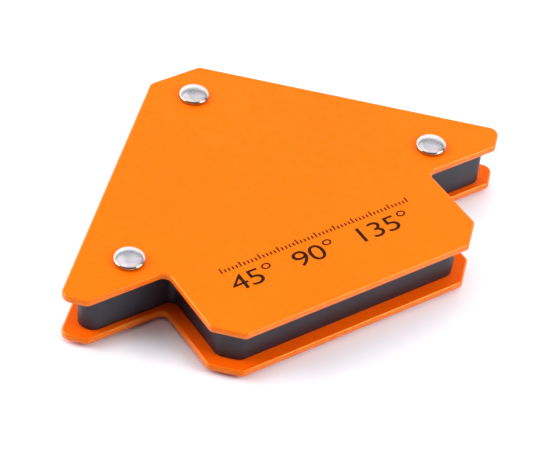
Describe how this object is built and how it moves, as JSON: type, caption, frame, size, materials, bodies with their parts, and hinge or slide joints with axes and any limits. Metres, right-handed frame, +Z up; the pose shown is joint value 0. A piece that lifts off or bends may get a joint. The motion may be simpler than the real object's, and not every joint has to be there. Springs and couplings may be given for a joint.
{
  "type": "welding magnet holder",
  "caption": "Arrow-shaped magnetic holder that sets steel at 45, 90 and 135 degrees for welding: painted steel plates riveted over a moulded core with ferrite blocks.",
  "frame": {"origin": "under the middle of the plates' outline, on the plane of the rivet tails that the holder lies on", "axes": "+X along the wings, +Y towards the apex, +Z up through the plates"},
  "size_m": [0.1176, 0.0822, 0.0164],
  "materials": {
    "orange_powder_coat": "satin",
    "black_moulded_plastic": "satin",
    "ferrite": "matte",
    "zinc_plated_steel": "satin"
  },
  "bodies": {
    "root": {"top_plate": "orange_powder_coat", "bottom_plate": "orange_powder_coat", "spacer_frame": "black_moulded_plastic", "magnet_tail_left": "ferrite", "magnet_tail_right": "ferrite", "magnet_middle_left": "ferrite", "magnet_middle_right": "ferrite", "magnet_apex": "ferrite", "rivet_apex": "zinc_plated_steel", "rivet_left": "zinc_plated_steel", "rivet_right": "zinc_plated_steel"}
  },
  "joints": []
}
